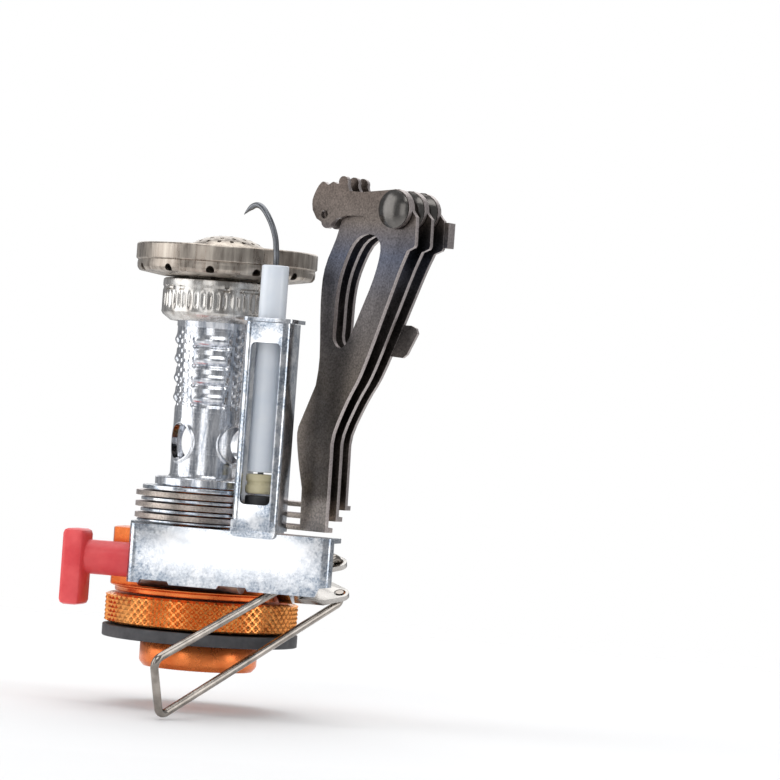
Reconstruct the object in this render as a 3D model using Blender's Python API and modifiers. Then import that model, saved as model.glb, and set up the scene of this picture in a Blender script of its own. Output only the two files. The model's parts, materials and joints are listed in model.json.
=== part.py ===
"""Camping stove: an upright canister burner with folding pot supports, a piezo igniter and a wire valve handle.

Sizes are in millimetres and become metres when a mesh is made. The origin is on the stem's axis, at the bottom
face of the threaded collar. +Z runs up the stem, the igniter faces -Y, its button points to -X and the valve
spindle points to +X.
"""

import math

import bmesh
import bpy
from mathutils import Matrix, Vector

MM = 0.001
STEPS = 32  # sides of a round piece
GAP = 0.3  # between two pieces that touch

# Stem, from the canister up: heights of the pieces' lower and upper faces, and their radii.
COLLAR_R, COLLAR_TOP = 9.5, 4.15
SOCKET_R, SOCKET_DEPTH = 5.55, 8.5
SLEEVE_R, SLEEVE_TOP = 7.4, 11.3
DISC_R, DISC_Z = 15.8, (4.45, 6.35)
RING_R, RING_Z = 15.6, (6.65, 11.5)
BODY_R, BODY_Z = 15.0, (11.8, 21.95)
BODY_FLANGE_TOP = 12.6
BODY_FLAT_Y, BODY_FLAT_X = -6.5, 12.6
BOSS_R, BOSS_TOP = 5.6, 30.6
PLATE_Z = (22.3, 23.1)
TUBE_BASE_Z = 29.4
TUBE_TOP = 58.6
TUBE_BORE_R = 5.9

# Valve spindle and wire handle. The hinge axis leans by HINGE_LEAN from +Z towards -Y.
SPINDLE_Z = 16.2
HINGE_X = 22.5
HINGE_LEAN = math.radians(29.4)
FOLDED_ANGLE = math.radians(118.4)
HANDLE_LENGTH = 41.0
HANDLE_HALF_AT_HINGE, HANDLE_HALF_AT_END = 4.3, 5.1
HANDLE_WIRE_R = 0.65

# Igniter: the box in front of the body, and the upright channel that holds the ceramic.
BOX_X, BOX_Y, BOX_LOW = (-8.2, 25.1), (-16.4, -14.4), 13.8
PIEZO_Y, PIEZO_Z = -11.0, 17.0
CHANNEL_X, CHANNEL_Y, CHANNEL_Z = (8.7, 16.2), (-17.3, -11.2), (23.5, 56.2)
CERAMIC_XY = (12.0, -13.4)

# Pot supports: azimuths when folded, and the height of each one's ring.
SUPPORT_AZIMUTHS = (-25.0, -19.0, -13.0)
SUPPORT_RING_Z = (23.8, 25.6, 27.4)
SHEET = 0.8
RIVET_RHO, RIVET_Z = 35.0, 75.2
RING_OUTER_R = 11.9
ARM_OFFSET = 1.0  # from the middle of a support's sheet to the middle of its arm's


def new_collection(name):
    made = bpy.data.collections.new(name)
    bpy.context.scene.collection.children.link(made)
    return made


def new_material(name, color, metallic, roughness):
    made = bpy.data.materials.new(name)
    made.use_nodes = True
    shader = made.node_tree.nodes["Principled BSDF"]
    shader.inputs["Base Color"].default_value = (*color, 1.0)
    shader.inputs["Metallic"].default_value = metallic
    shader.inputs["Roughness"].default_value = roughness
    return made


def add_object(name, data, surface, place=None):
    """A piece, or a cutter when it has no surface."""
    made = bpy.data.objects.new(name, data)
    made.matrix_world = place or Matrix()
    if surface:
        data.materials.append(surface)
        PIECES.objects.link(made)
    else:
        CUTTERS.objects.link(made)
        made.hide_render = True
        made.display_type = "WIRE"
    return made


def at(x, y, z, turn=None):
    """A place from millimetres, with an optional rotation."""
    return Matrix.Translation(Vector((x, y, z)) * MM) @ (turn or Matrix())


def turned(name, profile, surface, place=None, steps=STEPS):
    """A solid of revolution about local Z. The (radius, height) profile runs down its outer side."""
    points = [(radius * MM, 0.0, height * MM) for radius, height in profile]
    edges = [(i, i + 1) for i in range(len(points) - 1)]
    if profile[0][0] > 0:
        edges.append((len(points) - 1, 0))
    mesh = bpy.data.meshes.new(name)
    mesh.from_pydata(points, edges, [])
    made = add_object(name, mesh, surface, place)
    screw = made.modifiers.new("Screw", "SCREW")
    screw.axis = "Z"
    screw.angle = 2 * math.pi
    screw.steps = screw.render_steps = steps
    screw.use_merge_vertices = True
    screw.merge_threshold = 1e-6
    return made


def washer(name, inner, outer, heights, surface, edge=0.0):
    """A flat ring, with eased outer edges where edge is more than 0."""
    low, high = heights
    if edge > 0:
        rim = [(outer - edge, high), (outer, high - edge), (outer, low + edge), (outer - edge, low)]
    else:
        rim = [(outer, high), (outer, low)]
    return turned(name, [(inner, high)] + rim + [(inner, low)], surface)


def rod(name, start, end, radius, surface=None, end_radius=None, sides=24):
    """A cylinder, or a cone, between two points."""
    start, end = Vector(start) * MM, Vector(end) * MM
    work = bmesh.new()
    second = radius if end_radius is None else end_radius
    bmesh.ops.create_cone(
        work,
        cap_ends=True,
        segments=sides,
        radius1=radius * MM,
        radius2=second * MM,
        depth=(end - start).length,
    )
    mesh = bpy.data.meshes.new(name)
    work.to_mesh(mesh)
    work.free()
    turn = (end - start).to_track_quat("Z", "Y").to_matrix().to_4x4()
    return add_object(name, mesh, surface, Matrix.Translation((start + end) / 2) @ turn)


def block(name, low, high, surface=None, place=None):
    """A box between two corners, in the local frame of its place."""
    low, high = Vector(low) * MM, Vector(high) * MM
    work = bmesh.new()
    bmesh.ops.create_cube(work, size=1.0)
    bmesh.ops.scale(work, vec=high - low, verts=work.verts)
    bmesh.ops.translate(work, vec=(low + high) / 2, verts=work.verts)
    mesh = bpy.data.meshes.new(name)
    work.to_mesh(mesh)
    work.free()
    return add_object(name, mesh, surface, place)


def as_mesh(curve_object, surface):
    """The curve object made a mesh, with its caps welded."""
    bpy.context.view_layer.update()
    graph = bpy.context.evaluated_depsgraph_get()
    mesh = bpy.data.meshes.new_from_object(curve_object.evaluated_get(graph))
    mesh.materials.clear()
    work = bmesh.new()
    work.from_mesh(mesh)
    bmesh.ops.remove_doubles(work, verts=work.verts, dist=1e-6)
    bmesh.ops.recalc_face_normals(work, faces=work.faces)
    work.to_mesh(mesh)
    work.free()
    name, place = curve_object.name, curve_object.matrix_world.copy()
    bpy.data.objects.remove(curve_object)
    return add_object(name, mesh, surface, place)


def sheet(name, outlines, thickness, surface=None, place=None):
    """A flat plate about local z = 0: the first outline is its edge, and the others are its holes."""
    curve = bpy.data.curves.new(name, "CURVE")
    curve.dimensions = "2D"
    curve.fill_mode = "BOTH"
    curve.extrude = thickness / 2 * MM
    for outline in outlines:
        spline = curve.splines.new("POLY")
        spline.points.add(len(outline) - 1)
        for point, (x, y) in zip(spline.points, outline):
            point.co = (x * MM, y * MM, 0.0, 1.0)
        spline.use_cyclic_u = True
    made = bpy.data.objects.new(name, curve)
    made.matrix_world = place or Matrix()
    CUTTERS.objects.link(made)
    return as_mesh(made, surface)


def bent_wire(name, points, radius, surface, place=None, resolution=2, tip=1.0):
    """A round wire along a path, with filled ends. tip scales the radius at the last point."""
    curve = bpy.data.curves.new(name, "CURVE")
    curve.dimensions = "3D"
    curve.bevel_depth = radius * MM
    curve.bevel_resolution = resolution
    curve.use_fill_caps = True
    spline = curve.splines.new("POLY")
    spline.points.add(len(points) - 1)
    for point, where in zip(spline.points, points):
        point.co = (*(Vector(where) * MM), 1.0)
    spline.points[-1].radius = tip
    return add_object(name, curve, surface, place)


def combine(target, other, operation="DIFFERENCE"):
    modifier = target.modifiers.new(other.name, "BOOLEAN")
    modifier.operation = operation
    modifier.object = other
    return target


def arc(centre, radius, start, end, count):
    """Points round a circle, angles in degrees."""
    turns = [math.radians(start + (end - start) * i / count) for i in range(count + 1)]
    return [(centre[0] + radius * math.cos(t), centre[1] + radius * math.sin(t)) for t in turns]


def fillet(before, corner, after, radius, count=4):
    """Points that round one corner of a path in space."""
    before, corner, after = Vector(before), Vector(corner), Vector(after)
    one, two = (before - corner).normalized(), (after - corner).normalized()
    half = one.angle(two) / 2
    centre = corner + (one + two).normalized() * (radius / math.sin(half))
    start, end = corner + one * (radius / math.tan(half)), corner + two * (radius / math.tan(half))
    made = [start.lerp(end, i / count) - centre for i in range(count + 1)]
    return [centre + point.normalized() * radius for point in made]


def clear_scene():
    for found in list(bpy.data.objects):
        bpy.data.objects.remove(found)


clear_scene()
PIECES = new_collection("camping_stove")
CUTTERS = new_collection("cutters")

ANODISED = new_material("orange_anodised", (0.80, 0.22, 0.06), 0.9, 0.35)
BRIGHT = new_material("bright_aluminium", (0.80, 0.81, 0.83), 1.0, 0.22)
CHROME = new_material("plated_sheet", (0.78, 0.79, 0.81), 1.0, 0.15)
STEEL = new_material("burner_steel", (0.42, 0.38, 0.34), 1.0, 0.35)
DARK_STEEL = new_material("support_steel", (0.20, 0.19, 0.19), 1.0, 0.4)
NICKEL = new_material("nickel_wire", (0.62, 0.60, 0.57), 1.0, 0.25)
BRASS = new_material("brass", (0.72, 0.52, 0.22), 1.0, 0.3)
RUBBER = new_material("black_rubber", (0.05, 0.05, 0.055), 0.0, 0.8)
RED = new_material("red_plastic", (0.80, 0.13, 0.12), 0.0, 0.45)
BLACK = new_material("black_plastic", (0.03, 0.03, 0.03), 0.0, 0.5)
CERAMIC = new_material("white_ceramic", (0.80, 0.86, 0.92), 0.0, 0.3)
CREAM = new_material("cream_sleeve", (0.78, 0.72, 0.52), 0.0, 0.5)


def threaded_collar():
    """Screws on to the canister. Its sleeve runs up through the disc and the knurled ring."""
    mouth = 0.7
    profile = [
        (1.4, SLEEVE_TOP),
        (SLEEVE_R, SLEEVE_TOP),
        (SLEEVE_R, COLLAR_TOP),
        (COLLAR_R, COLLAR_TOP),
        (COLLAR_R, 0.9),
        (COLLAR_R - 0.9, 0.0),
        (SOCKET_R + mouth, 0.0),
        (SOCKET_R, mouth),
        (SOCKET_R, SOCKET_DEPTH),
        (1.4, SOCKET_DEPTH),
    ]
    turned("threaded_collar", profile, ANODISED)


def ring_of_rubber(name, major, minor, place, count=10):
    """An O-ring about local Z."""
    profile = [(r, h) for r, h in arc((major, 0.0), minor, 90, 90 - 360, count)[:-1]]
    turned(name, profile, RUBBER, place, steps=28)


def stem_base():
    threaded_collar()
    ring_of_rubber("canister_seal", 4.3, 0.9, at(0, 0, SOCKET_DEPTH - 1.2))
    rod("depressor_pin", (0, 0, 3.8), (0, 0, 10.6), 1.0, BRASS, sides=16)
    washer("rubber_disc", SLEEVE_R + GAP, DISC_R, DISC_Z, RUBBER, edge=0.3)
    washer("knurled_ring", SLEEVE_R + GAP, RING_R, RING_Z, ANODISED, edge=0.6)


def valve_body():
    """A turned body with a flat for the igniter, a flat for the gland, and the gas ways bored through it."""
    low, high = BODY_Z
    profile = [
        (0.0, BOSS_TOP),
        (BOSS_R - 0.4, BOSS_TOP),
        (BOSS_R, BOSS_TOP - 0.4),
        (BOSS_R, high),
        (BODY_R - 0.3, high),
        (BODY_R, high - 0.3),
        (BODY_R, low + 0.9),
        (BODY_R - 0.8, low + 0.8),
        (BODY_R - 0.8, low),
        (0.0, low),
    ]
    body = turned("valve_body", profile, ANODISED)
    far = 2 * BODY_R
    combine(body, block("igniter_flat", (-far, -far, BODY_FLANGE_TOP + 0.3), (far, BODY_FLAT_Y, high + 1)))
    combine(body, block("gland_flat", (BODY_FLAT_X, -far, low - 1), (far, far, high + 1)))
    combine(body, rod("gas_way", (0, 0, low - 1), (0, 0, BOSS_TOP + 1), 1.2, sides=20))
    combine(body, rod("spindle_way", (0.6, 0, SPINDLE_Z), (8.7, 0, SPINDLE_Z), 2.4))
    combine(body, rod("gland_way", (8.6, 0, SPINDLE_Z), (BODY_R, 0, SPINDLE_Z), 2.9))
    tip = [(0.35, 35.0), (1.4, 34.6), (1.9, 33.2), (2.6, 33.0), (2.6, BOSS_TOP + GAP), (0.35, BOSS_TOP + GAP)]
    turned("gas_jet", tip, BRASS, steps=18)


def spindle_assembly():
    """The spindle, its O-ring and gland nut, and the clevis that the wire handle hinges on."""
    along_x = Matrix.Rotation(math.pi / 2, 4, "Y")
    place = at(0, 0, SPINDLE_Z, along_x)
    profile = [
        (0.0, 18.1),
        (1.2, 18.1),
        (1.45, 17.8),
        (1.45, 10.9),
        (2.1, 10.9),
        (2.1, 10.4),
        (1.1, 10.4),
        (1.1, 8.7),
        (2.1, 8.7),
        (2.1, 2.6),
        (0.0, 0.3),
    ]
    turned("valve_spindle", profile, STEEL, place, steps=28)
    ring_of_rubber("spindle_o_ring", 2.0, 0.62, at(9.55, 0, SPINDLE_Z, along_x))
    gland = turned("gland_nut", [(1.8, 13.0), (2.6, 13.0), (2.6, 11.2), (1.8, 11.2)], BRIGHT, place, steps=28)
    hexagon = rod("gland_hexagon", (12.9, 0, SPINDLE_Z), (15.2, 0, SPINDLE_Z), 4.6, sides=6)
    combine(gland, hexagon, "UNION")
    combine(gland, rod("gland_bore", (11, 0, SPINDLE_Z), (16, 0, SPINDLE_Z), 1.8, sides=28))


def hinge_frame():
    """Local X is world X, local Y is the hinge axis, and the origin is where it crosses the spindle's plane."""
    return at(HINGE_X, 0, SPINDLE_Z, Matrix.Rotation(HINGE_LEAN, 4, "X") @ Matrix.Rotation(math.pi / 2, 4, "X"))


def handle_clevis():
    """A folded sheet: a base on the spindle and two ears. Local X runs along the spindle, local Y along the hinge."""
    ear_out, thick, half_width = 3.3, 0.85, 3.0
    base_x, ear_tip_r = 15.7 - HINGE_X, 1.5
    frame = hinge_frame()
    section = [
        (base_x, -ear_out),
        (ear_tip_r, -ear_out),
        (ear_tip_r, thick - ear_out),
        (base_x + thick, thick - ear_out),
        (base_x + thick, ear_out - thick),
        (ear_tip_r, ear_out - thick),
        (ear_tip_r, ear_out),
        (base_x, ear_out),
    ]
    clevis = sheet("handle_clevis", [section], 2 * half_width, CHROME, frame)
    side = [(base_x - 1, -half_width), (-2.0, -half_width)]
    side += arc((0, 0), ear_tip_r, -70, 70, 8)
    side += [(-2.0, half_width), (base_x - 1, half_width)]
    across = frame @ Matrix.Rotation(-math.pi / 2, 4, "X")
    combine(clevis, sheet("ear_outline", [side], 4 * ear_out, None, across), "INTERSECT")
    pin_hole = rod("ear_holes", (0, -8, 0), (0, 8, 0), 0.95, sides=20)
    pin_hole.matrix_world = frame @ Matrix.Rotation(math.pi / 2, 4, "X")
    combine(clevis, pin_hole)
    bore = rod("clevis_bore", (14, 0, SPINDLE_Z), (19, 0, SPINDLE_Z), 1.75, sides=28)
    combine(clevis, bore)
    nut = rod("clevis_nut", (16.85, 0, SPINDLE_Z), (18.2, 0, SPINDLE_Z), 2.3, BRIGHT, sides=6)
    combine(nut, rod("nut_bore", (16, 0, SPINDLE_Z), (19, 0, SPINDLE_Z), 1.75, sides=24))


def wire_handle():
    """A tapered loop of wire. Its ends turn in through the clevis ears."""
    frame = hinge_frame() @ Matrix.Rotation(-FOLDED_ANGLE, 4, "Y")
    near, far, pin_end = HANDLE_HALF_AT_HINGE, HANDLE_HALF_AT_END, 2.35
    corners = [
        (0, pin_end, 0),
        (0, near, 0),
        (HANDLE_LENGTH, far, 0),
        (HANDLE_LENGTH, -far, 0),
        (0, -near, 0),
        (0, -pin_end, 0),
    ]
    points = [corners[0]]
    for before, corner, after in zip(corners, corners[1:], corners[2:]):
        points += fillet(before, corner, after, 0.95 if corner[0] == 0 else 1.6)
    points.append(corners[-1])
    bent_wire("wire_handle", points, HANDLE_WIRE_R, NICKEL, frame)


def igniter_bracket():
    """A folded sheet: a front plate with short returns, and a top plate that is clamped round the stem."""
    (left, right), (front, back), thick = BOX_X, BOX_Y, SHEET
    radius = 1.3
    outer = arc((left + radius, front + radius), radius, 180, 270, 4)
    outer += arc((right - radius, front + radius), radius, 270, 360, 4)
    inner = arc((right - radius, front + radius), radius - thick, 360, 270, 4)
    inner += arc((left + radius, front + radius), radius - thick, 270, 180, 4)
    path = [(left, back)] + outer + [(right, back), (right - thick, back)] + inner + [(left + thick, back)]
    low, high = BOX_LOW, PLATE_Z[1]
    bracket = sheet("igniter_bracket", [path], high - low, CHROME, at(0, 0, (low + high) / 2))
    edge = front + 0.25
    top = [(left + 0.2, back - 0.3), (left + 1.4, edge), (right - 1.4, edge), (right - 0.2, back - 0.3)]
    top += [(right - 0.2, -9.5)] + arc((0, 0), 12.4, -32, 200, 28) + [(left + 0.2, -9.0)]
    hole, lead = arc((0, 0), BOSS_R + GAP, 0, 360, 28)[:-1], arc(CERAMIC_XY, 1.9, 0, 360, 14)[:-1]
    plate = sheet("bracket_top", [top, hole, lead], SHEET - 0.04, None, at(0, 0, sum(PLATE_Z) / 2 - 0.02))
    combine(bracket, plate, "UNION")
    upright = at(0, front, 0, Matrix.Rotation(math.pi / 2, 4, "X"))
    for i, x in enumerate((-3.4, 9.5)):
        notch = [(x - 3.2, low - 1), (x - 2.2, low + 0.55), (x + 2.2, low + 0.55), (x + 3.2, low - 1)]
        combine(bracket, sheet(f"bottom_notch_{i}", [notch], 12, None, upright))
    corner = [(right - 2.6, low - 1), (right - 1.6, low + 1.4), (right + 1, low + 1.8), (right + 1, low - 1)]
    combine(bracket, sheet("corner_notch", [corner], 12, None, upright))


def piezo():
    """The piezo module lies behind the front plate. Its button slides along X."""
    start, end = (-7.2, PIEZO_Y, PIEZO_Z), (9.6, PIEZO_Y, PIEZO_Z)
    module = rod("piezo_module", start, end, 4.0, BLACK)
    combine(module, rod("module_bore", (-8, PIEZO_Y, PIEZO_Z), (-1.2, PIEZO_Y, PIEZO_Z), 3.1))
    head_low, head_high = (-19.6, PIEZO_Y - 4.0, 9.3), (-16.1, PIEZO_Y + 2.0, 21.4)
    button = block("piezo_button", head_low, head_high, RED)
    bevel = button.modifiers.new("Bevel", "BEVEL")
    bevel.width = 0.8 * MM
    bevel.segments = 2
    stem = rod("button_stem", (-16.6, PIEZO_Y, PIEZO_Z), (-5.6, PIEZO_Y, PIEZO_Z), 2.75)
    combine(button, stem, "UNION")
    x, y = CERAMIC_XY
    ends = [(9.95, PIEZO_Y, PIEZO_Z), (11.0, PIEZO_Y, PIEZO_Z)]
    corners = ends + [(x, y, 19.0), (x, y, 24.2)]
    points = [corners[0]] + fillet(*corners[0:3], 0.5, 2) + fillet(*corners[1:4], 1.0, 3) + [corners[3]]
    bent_wire("spark_lead", points, 0.9, BLACK)
    rod("lead_boot", (x, y, 24.5), (x, y, 28.9), 2.2, BLACK)


def igniter_holder():
    """An upright channel, open at the back, with a window in front, and a cap on top round the ceramic."""
    (left, right), (front, back), (low, high) = CHANNEL_X, CHANNEL_Y, CHANNEL_Z
    radius, thick = 1.2, SHEET
    outer = arc((left + radius, front + radius), radius, 180, 270, 4)
    outer += arc((right - radius, front + radius), radius, 270, 360, 4)
    inner = arc((right - radius, front + radius), radius - thick, 360, 270, 4)
    inner += arc((left + radius, front + radius), radius - thick, 270, 180, 4)
    path = [(left, back)] + outer + [(right, back), (right - thick, back)] + inner + [(left + thick, back)]
    holder = sheet("igniter_holder", [path], high - low, CHROME, at(0, 0, (low + high) / 2))
    middle = (left + right) / 2
    wide = arc((left + 0.8, front + 0.8), 1.2, 180, 270, 3) + arc((right - 0.8, front + 0.8), 1.2, 270, 360, 3)
    wide += [(right + 0.4, back + 1.2), (left - 0.4, back + 1.2)]
    hole = arc(CERAMIC_XY, 2.6, 0, 360, 24)[:-1]
    sheet("holder_cap", [wide, hole], 0.6, CHROME, at(0, 0, high + 0.4))
    foot = [(left + 0.1, back + 1.0), (left + 0.1, front + 1.2), (left + 1.2, front + 0.1)]
    foot += [(right - 1.2, front + 0.1), (right - 0.1, front + 1.2), (right - 0.1, back + 1.0)]
    gap_for_boot = arc(CERAMIC_XY, 2.55, 0, 360, 20)[:-1]
    combine(holder, sheet("holder_foot", [foot, gap_for_boot], 0.7, None, at(0, 0, low + 0.36)), "UNION")
    tongue = arc((left + 1.0, 23.2), 0.9, 180, 270, 3) + arc((right - 1.0, 23.2), 0.9, 270, 360, 3)
    tongue += [(right - 0.1, 25.0), (left + 0.1, 25.0)]
    facing = at(0, front + 0.4, 0, Matrix.Rotation(math.pi / 2, 4, "X"))
    combine(holder, sheet("holder_tongue", [tongue], SHEET - 0.06, None, facing), "UNION")
    half, window_low, window_high = 2.45, 27.5, 53.0
    corners = arc((middle + half - 0.8, window_high - 0.8), 0.8, 0, 90, 3)
    corners += arc((middle - half + 0.8, window_high - 0.8), 0.8, 90, 180, 3)
    corners += arc((middle - half + 0.8, window_low + 0.8), 0.8, 180, 270, 3)
    corners += arc((middle + half - 0.8, window_low + 0.8), 0.8, 270, 360, 3)
    upright = at(0, front, 0, Matrix.Rotation(math.pi / 2, 4, "X"))
    combine(holder, sheet("holder_window", [corners], 3.0, None, upright))


def spark_electrode():
    """Ceramic tube with a pointed wire that bends over to the burner."""
    x, y = CERAMIC_XY
    place = at(x, y, 0)
    bore = 0.8
    tube = [(bore, 65.3), (2.05, 65.3), (2.25, 65.1), (2.25, 32.6), (bore, 32.6)]
    turned("ceramic_insulator", tube, CERAMIC, place, steps=24)
    collar = [(bore, 32.3), (2.1, 32.3), (2.25, 32.1), (2.25, 29.4), (2.1, 29.2), (bore, 29.2)]
    turned("insulator_collar", collar, CREAM, place, steps=24)
    bend = [(-2.0, 0.5, 72.1), (-3.3, 0.95, 73.8), (-4.6, 1.4, 74.5), (-5.6, 1.8, 74.2), (-6.6, 2.2, 73.1)]
    points = [(0, 0, 30.0), (0, 0, 66.0), (-0.9, 0.15, 70.1)] + bend
    bent_wire("electrode", points, 0.58, NICKEL, place, tip=0.3)


def mixer_tube():
    """The tube that draws in air round the jet, with four air holes. It widens a little towards the burner."""
    base, top = TUBE_BASE_Z, TUBE_TOP
    outer = [(7.45, top), (7.45, 53.5), (6.85, 42.0), (6.75, 31.0), (9.0, 30.6), (9.0, base), (TUBE_BORE_R, base)]
    tube = turned("mixer_tube", [(TUBE_BORE_R, top)] + outer, BRIGHT)
    for i, azimuth in enumerate((-131, -41)):
        across = Vector((math.cos(math.radians(azimuth)), math.sin(math.radians(azimuth)), 0)) * 12
        ends = [Vector((0, 0, 36.4)) + across, Vector((0, 0, 36.4)) - across]
        combine(tube, rod(f"air_holes_{i}", *ends, 2.9))


def burner():
    """The neck, the head with its slanted underside, and the perforated dome in the middle of the head."""
    neck = [(8.9, 62.6), (9.7, 62.6), (10.0, 62.2), (10.0, 57.2), (9.7, 56.7), (8.4, 55.8)]
    neck += [(7.75, 55.8), (7.75, 58.2), (8.9, 59.4)]
    turned("burner_neck", neck, BRIGHT)
    head = [(6.7, 68.0), (14.4, 68.0), (14.65, 67.75), (14.65, 65.4), (14.4, 65.2), (14.4, 63.9), (14.0, 63.5)]
    head += [(10.3, 62.9), (9.0, 62.9), (9.0, 63.7), (13.6, 64.3), (13.6, 67.2), (6.7, 67.2)]
    turned("burner_head", head, STEEL)
    dome = [(0.0, 70.0), (2.5, 69.8), (4.6, 69.2), (6.1, 68.4), (6.4, 67.6), (6.4, 66.8), (5.8, 66.8)]
    dome += [(5.8, 67.5), (5.5, 68.1), (4.3, 68.7), (2.4, 69.2), (0.0, 69.4)]
    turned("burner_dome", dome, STEEL)


def ring_stack():
    """Washers that space the three supports' rings on the stem."""
    inner = BOSS_R + GAP
    washer("base_washer", inner, 11.5, (23.3, 23.6), CHROME)
    washer("lower_spacer", inner, 11.0, (24.85, 25.35), CHROME)
    washer("upper_spacer", inner, 11.0, (26.65, 27.15), CHROME)
    washer("top_washer", inner, 10.9, (28.45, 29.1), CHROME)


def upright_frame(azimuth, rho=0.0, height=0.0):
    """Local X runs outward at this azimuth, local Y up, and local Z towards the sheet's front."""
    a = math.radians(azimuth)
    turn = Matrix(((math.cos(a), 0, math.sin(a)), (math.sin(a), 0, -math.cos(a)), (0, 1, 0))).to_4x4()
    return at(rho * math.cos(a), rho * math.sin(a), height, turn)


def through(points, count=4, loop=False):
    """A smooth curve through the points, as a closed loop or from the first to the last."""
    around = [points[-1], *points, points[0], points[1]] if loop else [points[0], *points, points[-1]]
    made = []
    for a, b, c, d in zip(around, around[1:], around[2:], around[3:]):
        a, b, c, d = Vector(a), Vector(b), Vector(c), Vector(d)
        for i in range(count):
            t = i / count
            turn = (c - a) * t + (2 * a - 5 * b + 4 * c - d) * t**2 + (3 * b - a - 3 * c + d) * t**3
            made.append(tuple(b + turn / 2))
    return made if loop else made + [tuple(points[-1])]


def support_outline(foot_z):
    """The upright sheet's edge as (distance from the stem, height), and its slot."""
    inner = through([(23.7, 73.0), (22.9, 70.2), (21.0, 65.4), (20.7, 60.0), (21.3, 51.3), (20.9, 46.9)], 3)
    inner += through([(18.5, 41.4), (17.8, 39.2), (18.4, 35.2), (19.6, 30.5)], 3) + [(19.8, foot_z)]
    outer = [(25.0, foot_z)] + through([(24.9, 35.7), (25.1, 39.4), (27.4, 44.8), (29.6, 48.8), (32.0, 54.8)], 3)
    outer += through([(34.1, 60.5), (36.1, 65.8), (37.4, 68.8)], 3) + [(38.7, 69.4), (38.9, 69.8), (38.8, 74.1)]
    boss = [(38.4, 74.5)] + arc((34.6, RIVET_Z), 3.2, 0, 110, 8)
    slot = [(26.4, 69.6), (24.5, 65.3), (23.8, 61.5), (23.7, 57.0), (23.8, 54.2), (25.3, 53.0), (26.9, 54.4)]
    slot += [(28.9, 58.9), (31.1, 64.2), (32.1, 68.6), (31.3, 70.6), (29.0, 71.2)]
    return inner + outer + boss + [(25.5, 76.0)], through(slot, 3, loop=True)


def arm_outline():
    """The serrated arm's edge, from the rivet's centre: a narrow neck, and a broad tip with lobes above and below."""
    upper = arc((0, 0), 3.1, 0, 105, 7) + [(-3.0, 2.8), (-6.5, 2.5), (-9.2, 2.6), (-9.6, 3.3)]
    upper += arc((-10.6, 4.0), 0.95, -20, 200, 9)
    tip = through([(-11.9, 3.7), (-12.7, 4.0), (-13.7, 3.5), (-14.8, 4.0), (-15.9, 2.9), (-16.7, 1.0), (-16.5, -0.6)], 3)
    lower = [(-15.6, -1.9)] + arc((-13.4, -2.2), 1.2, 190, 345, 7) + [(-11.6, -1.8), (-9.6, -1.3), (-6.5, -1.2)]
    lower += arc((0, 0), 3.1, 235, 345, 7)
    return upper + tip + lower


def pot_support(number):
    """One support, its arm and the rivet between them."""
    azimuth, ring_z = SUPPORT_AZIMUTHS[number - 1], SUPPORT_RING_Z[number - 1]
    frame = upright_frame(azimuth)
    outline, slot = support_outline(ring_z + 0.1)
    pin_hole = arc((RIVET_RHO, RIVET_Z), 1.3, 0, 360, 14)[:-1]
    support = sheet(f"pot_support_{number}", [outline, slot, pin_hole], SHEET, DARK_STEEL, frame)
    flat = at(0, 0, ring_z + SHEET / 2, Matrix.Rotation(math.radians(azimuth), 4, "Z"))
    foot = [(8.0, -0.3), (24.9, -0.3), (24.9, 1.6), (19.0, 5.5), (8.0, 6.5)]
    rim = arc((0, 0), RING_OUTER_R, 0, 360, STEPS)[:-1]
    bore = arc((0, 0), BOSS_R + GAP, 0, 360, STEPS)[:-1]
    combine(support, sheet(f"ring_{number}", [rim, bore], SHEET, None, flat), "UNION")
    combine(support, sheet(f"foot_{number}", [foot], SHEET - 0.06, None, flat), "UNION")
    if number == 3:
        combine(support, block("back_lug", (38.5, 69.9, -2.0), (39.6, 73.9, 0.3), None, frame), "UNION")
        tab = [(30.0, 52.4), (33.2, 52.2), (33.9, 52.8), (35.5, 56.2), (35.2, 57.0), (34.3, 57.4), (31.5, 57.4)]
        combine(support, sheet("side_tab", [tab], SHEET - 0.1, None, frame), "UNION")
    pivot = upright_frame(azimuth, RIVET_RHO, RIVET_Z)
    hole = arc((0, 0), 1.3, 0, 360, 14)[:-1]
    dimple = arc((-14.0, -1.2), 0.7, 0, 360, 10)[:-1]
    sheet(f"pot_arm_{number}", [arm_outline(), hole, dimple], SHEET, DARK_STEEL, pivot @ at(0, 0, ARM_OFFSET))
    rivet = [(0.0, 2.35), (1.2, 2.22), (2.3, 1.85), (3.0, 1.5), (1.0, 1.5), (1.0, -0.6), (2.2, -0.6)]
    turned(f"arm_rivet_{number}", rivet + [(2.0, -0.95), (0.0, -0.95)], DARK_STEEL, pivot, steps=24)


stem_base()
valve_body()
spindle_assembly()
handle_clevis()
wire_handle()
igniter_bracket()
piezo()
igniter_holder()
spark_electrode()
mixer_tube()
burner()
ring_stack()
for support_number in (1, 2, 3):
    pot_support(support_number)
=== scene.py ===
# %% [markdown]
# # A pocket camping stove
#
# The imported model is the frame: it already holds every part at its real size. This lesson dresses it.
# Each visible part gets a finer mesh, built from the frame's own measurements, and a finish made of
# shader nodes. The lengths of a piece are in millimetres until its mesh is made, because that is how a
# maker measures such parts.

# %% Load the frame
import json
import math
import random

import bmesh
import bpy
from mathutils import Matrix, Vector


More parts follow.
